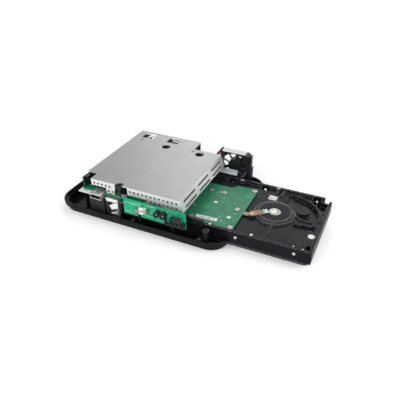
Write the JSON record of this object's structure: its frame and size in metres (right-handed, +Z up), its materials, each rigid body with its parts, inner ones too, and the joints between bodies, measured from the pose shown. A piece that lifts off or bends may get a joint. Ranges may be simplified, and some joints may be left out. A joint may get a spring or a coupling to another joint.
{
  "type": "media player with hard drive tray",
  "caption": "Opened media player: shallow base, hard drive part way out of its side bay, pierced metal shield over the main board, small fan and front connectors.",
  "frame": {"origin": "middle of the part's underside, with the drive at its rest place", "axes": "+Z up, +X the way the drive slides out, -Y the front with the power key"},
  "size_m": [0.2888, 0.147, 0.0485],
  "materials": {
    "black_plastic": "satin",
    "rubber": "matte",
    "screw_steel": "bright",
    "bright_sheet": "bright",
    "bracket_metal": "satin",
    "brass": "satin",
    "main_green": "satin",
    "front_green": "satin",
    "drive_green": "gloss",
    "dark_parts": "satin",
    "switch_grey": "satin",
    "can_sleeve": "gloss",
    "sink_aluminium": "satin",
    "tape": "gloss",
    "white_plastic": "satin",
    "lamp_plastic": "clear",
    "foam": "matte",
    "red_lead": "satin",
    "black_lead": "satin",
    "casting": "dark, satin",
    "drive_pan": "satin",
    "flex": "satin",
    "sticker": "matte",
    "platter_metal": "polished",
    "turned_aluminium": "machined"
  },
  "bodies": {
    "chassis": {"base_tray": "black_plastic", "near_bay_rail": "black_plastic", "far_bay_rail": "black_plastic", "usb_riser": "black_plastic", "usb_tongue": "black_plastic", "card_contacts": "black_plastic", "lamp_holders": "black_plastic", "key_frame": "black_plastic", "fan_frame": "black_plastic", "fan_holder": "black_plastic", "power_jack": "black_plastic", "optical_port": "black_plastic", "video_jack": "black_plastic", "board_header": "black_plastic", "drive_receptacle": "black_plastic", "rubber_feet": "rubber", "rubber_stop": "rubber", "base_screws": "screw_steel", "board_screws": "screw_steel", "lower_plate": "bright_sheet", "shield_cover": "bright_sheet", "usb_shell": "bright_sheet", "card_cage": "bright_sheet", "lan_port": "bright_sheet", "hdmi_port": "bright_sheet", "fan_bracket": "bracket_metal", "board_spacers": "brass", "main_board": "main_green", "side_board": "main_green", "link_board": "main_green", "front_board": "front_green", "small_parts": "dark_parts", "media_processor": "dark_parts", "memory_chips": "dark_parts", "tact_switch": "switch_grey", "board_capacitors": "can_sleeve", "front_capacitor": "can_sleeve", "heat_sink": "sink_aluminium", "insulating_tape": "tape", "ir_receiver": "white_plastic", "fan_plug": "white_plastic", "indicator_lamps": "lamp_plastic", "fan_foam": "foam", "fan_lead_red": "red_lead", "fan_lead_black": "black_lead"},
    "fan_rotor": {"fan_rotor": "black_plastic"},
    "power_key": {"power_key": "black_plastic"},
    "drive": {"drive_casting": "casting", "drive_cover": "drive_pan", "drive_board": "drive_green", "drive_board_parts": "dark_parts", "drive_board_screws": "screw_steel", "motor_disc": "casting", "shaft_cap": "drive_pan", "motor_flex": "flex", "drive_plug": "black_plastic", "drive_labels": "sticker"},
    "platter": {"platter": "platter_metal", "spindle_rotor": "turned_aluminium"},
    "head_arm": {"head_arm": "turned_aluminium"}
  },
  "joints": [
    {"name": "drive_slide", "type": "slide", "parent": "chassis", "child": "drive", "axis": [1, 0, 0], "range_m": [-0.085, 0.02]},
    {"name": "platter_spin", "type": "hinge", "parent": "drive", "child": "platter", "pos_m": [0.09235, -0.00405, 0.012], "axis": [0, 0, 1], "continuous": true},
    {"name": "head_swing", "type": "hinge", "parent": "drive", "child": "head_arm", "pos_m": [0.04345, 0.01625, 0.01], "axis": [0, 0, 1], "range_deg": [0, 34]},
    {"name": "fan_spin", "type": "hinge", "parent": "chassis", "child": "fan_rotor", "pos_m": [0.02065, 0.065, 0.0298], "axis": [0, 1, 0], "continuous": true},
    {"name": "key_press", "type": "slide", "parent": "chassis", "child": "power_key", "axis": [0, 1, 0], "range_m": [0, 0.0005], "stiffness_N_per_m": 2000, "springref_m": -0.0005}
  ]
}
